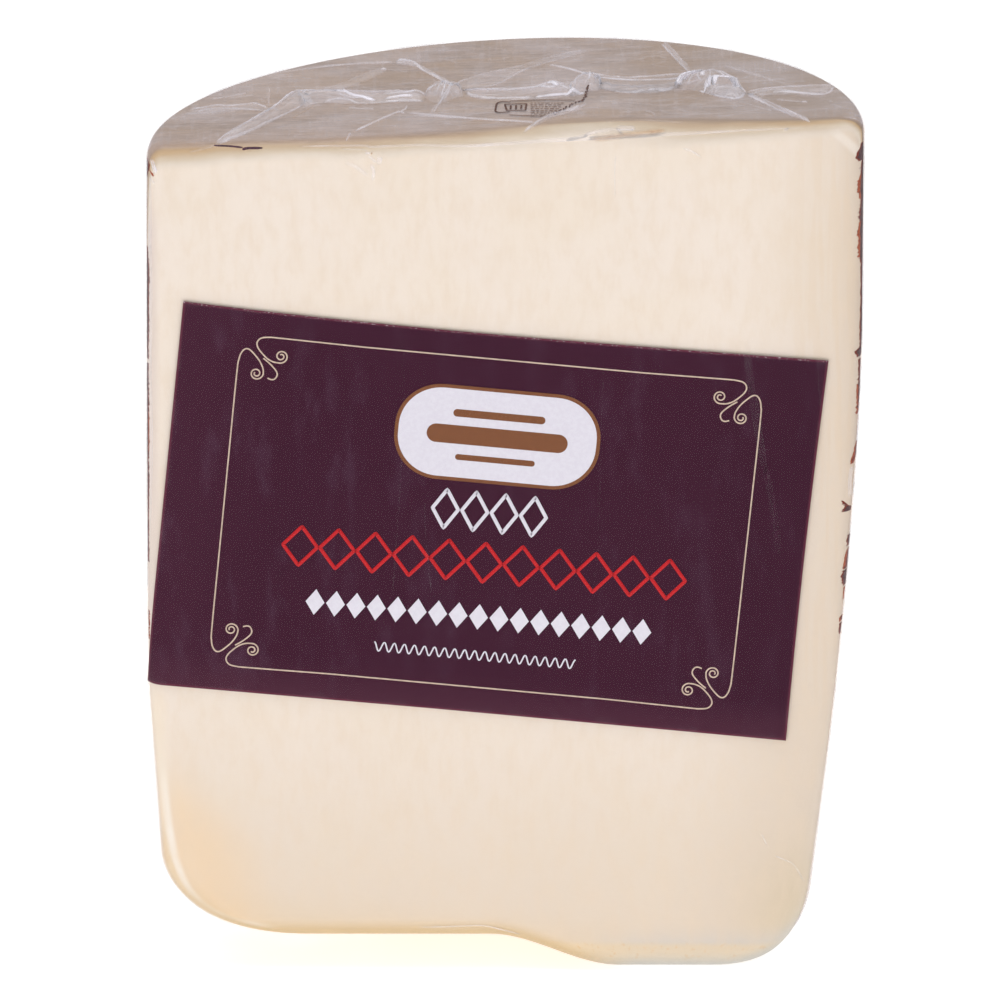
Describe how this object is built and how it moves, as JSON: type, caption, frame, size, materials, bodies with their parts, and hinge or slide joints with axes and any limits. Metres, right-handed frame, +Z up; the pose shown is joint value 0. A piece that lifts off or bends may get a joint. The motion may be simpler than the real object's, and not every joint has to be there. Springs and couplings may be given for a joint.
{
  "type": "vacuum-packed provolone cheese",
  "caption": "Tall cut block of aged provolone with a flat cut face, rounded rind behind and a rounded end, shrink-wrapped in clear film with a paper label under it.",
  "frame": {"origin": "on the floor under the middle of the object's box", "axes": "+Z up from the rounded end to the level cut, the flat cut face with the label looks along -Y, the rind is towards +Y, +X is to the right of the cut face"},
  "size_m": [0.2336, 0.1018, 0.2999],
  "materials": {
    "vacuum_pack": "clear shrink film over pale cream cheese",
    "label": "coated paper under clear film"
  },
  "bodies": {
    "root": {"vacuum_pack": "vacuum_pack", "label": "label"}
  },
  "joints": []
}
